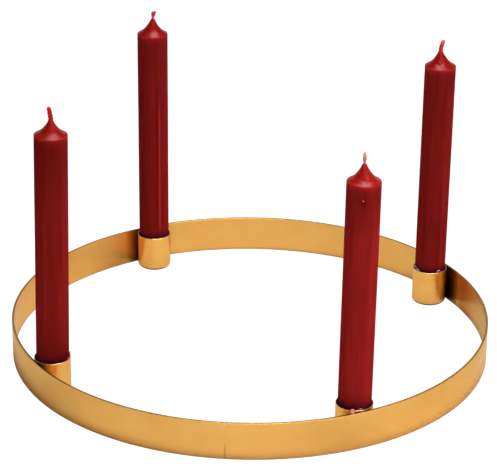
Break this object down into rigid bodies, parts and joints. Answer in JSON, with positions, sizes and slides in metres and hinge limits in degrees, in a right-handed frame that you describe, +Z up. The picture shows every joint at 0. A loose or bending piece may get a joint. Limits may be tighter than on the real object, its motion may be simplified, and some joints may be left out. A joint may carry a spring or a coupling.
{
  "type": "metal advent wreath",
  "caption": "Flat metal band bent to a free-standing ring, with metal cups inside it that hold tall red candles.",
  "frame": {"origin": "centre of the ring on the surface that it stands on", "axes": "+Z up along the candles, -Y to the front as pictured, +X to the right"},
  "size_m": [0.32, 0.32, 0.1962],
  "materials": {
    "satin_gold": "satin gold-coloured metal with a faint grain along the strip",
    "red_wax": "smooth dark red candle wax with a soft sheen",
    "dipped_cotton": "braided cotton dipped in red wax"
  },
  "bodies": {
    "root": {"ring_band": "satin_gold", "candle_cup_right": "satin_gold", "candle_cup_back": "satin_gold", "candle_cup_left": "satin_gold", "candle_cup_front": "satin_gold", "candle_right": "red_wax", "candle_back": "red_wax", "candle_left": "red_wax", "candle_front": "red_wax", "wick_right": "dipped_cotton", "wick_back": "dipped_cotton", "wick_left": "dipped_cotton", "wick_front": "dipped_cotton"}
  },
  "joints": []
}
